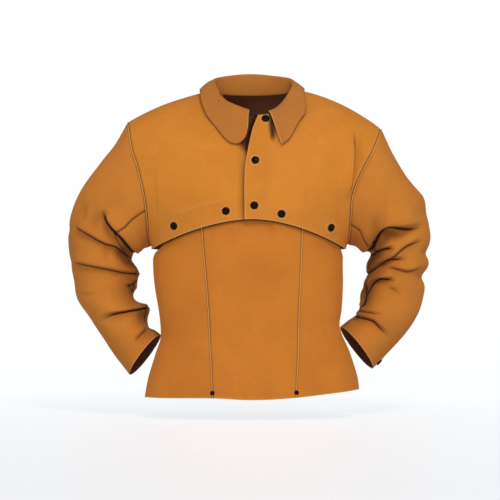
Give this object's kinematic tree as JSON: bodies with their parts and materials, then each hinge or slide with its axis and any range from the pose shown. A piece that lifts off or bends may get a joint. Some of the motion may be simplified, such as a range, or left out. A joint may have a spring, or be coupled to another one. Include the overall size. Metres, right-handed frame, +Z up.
{
  "type": "welding_cape_sleeve_with_bib",
  "caption": "Leather welder's cape sleeve: short cape with collar, snap front and full sleeves, with a detachable bib of joined panels hanging from its hem, in its worn shape.",
  "frame": {"origin": "In the middle of the neck opening, level with the foot of the collar at its sides.", "axes": "+Z up. The front faces -Y and the wearer's left is +X."},
  "size_m": [0.653, 0.2361, 0.5829],
  "materials": {
    "leather": "matte suede split cowhide, golden tan",
    "welt": "matte cut strip, paler tan",
    "snap": "black enamelled brass, satin"
  },
  "bodies": {
    "root": {"cape_front_left": "leather", "cape_front_right": "leather", "cape_back": "leather", "collar": "leather", "sleeve_upper_right": "leather", "sleeve_under_right": "leather", "sleeve_upper_left": "leather", "sleeve_under_left": "leather", "armhole_welt_right": "welt", "armhole_welt_left": "welt", "bib_center": "leather", "bib_side_right": "leather", "bib_side_left": "leather", "bib_welt_right": "welt", "bib_welt_left": "welt", "hem_snap_1_cap": "snap", "hem_snap_1_stud": "snap", "hem_snap_2_cap": "snap", "hem_snap_2_stud": "snap", "hem_snap_3_cap": "snap", "hem_snap_3_stud": "snap", "hem_snap_4_cap": "snap", "hem_snap_4_stud": "snap", "placket_snap_1_cap": "snap", "placket_snap_1_stud": "snap", "placket_snap_2_cap": "snap", "placket_snap_2_stud": "snap", "collar_snap_cap": "snap", "collar_snap_stud": "snap", "cuff_snap_right": "snap", "cuff_snap_left": "snap", "bib_rivet_right": "snap", "bib_rivet_left": "snap"}
  },
  "joints": []
}
